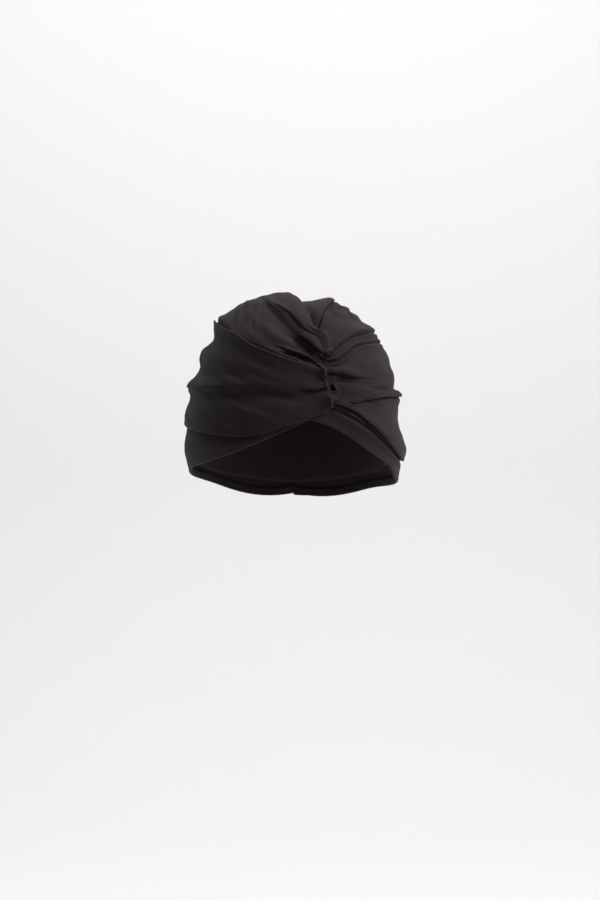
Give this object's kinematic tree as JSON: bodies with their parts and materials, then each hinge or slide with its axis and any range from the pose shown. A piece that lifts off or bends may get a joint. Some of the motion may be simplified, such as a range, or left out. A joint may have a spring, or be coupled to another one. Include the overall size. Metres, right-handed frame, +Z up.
{
  "type": "turban headwrap",
  "caption": "Soft close-fitting jersey turban with folded panels gathered above the brow and crossed bands that frame the forehead.",
  "frame": {"origin": "middle of the head opening, level with the side hems, where the turban sits on a head", "axes": "+Z up, the forehead faces -Y, +X to the right as seen from the front"},
  "size_m": [0.1784, 0.2269, 0.1679],
  "materials": {
    "crown_cap": "matt black jersey",
    "left_band": "matt black jersey",
    "right_band": "matt black jersey",
    "crown_right_fold": "matt black jersey",
    "right_drape": "matt black jersey",
    "crown_left_fold": "matt black jersey",
    "left_drape": "matt black jersey"
  },
  "bodies": {
    "root": {"crown_cap": "crown_cap", "left_band": "left_band", "right_band": "right_band", "crown_right_fold": "crown_right_fold", "right_drape": "right_drape", "crown_left_fold": "crown_left_fold", "left_drape": "left_drape"}
  },
  "joints": []
}
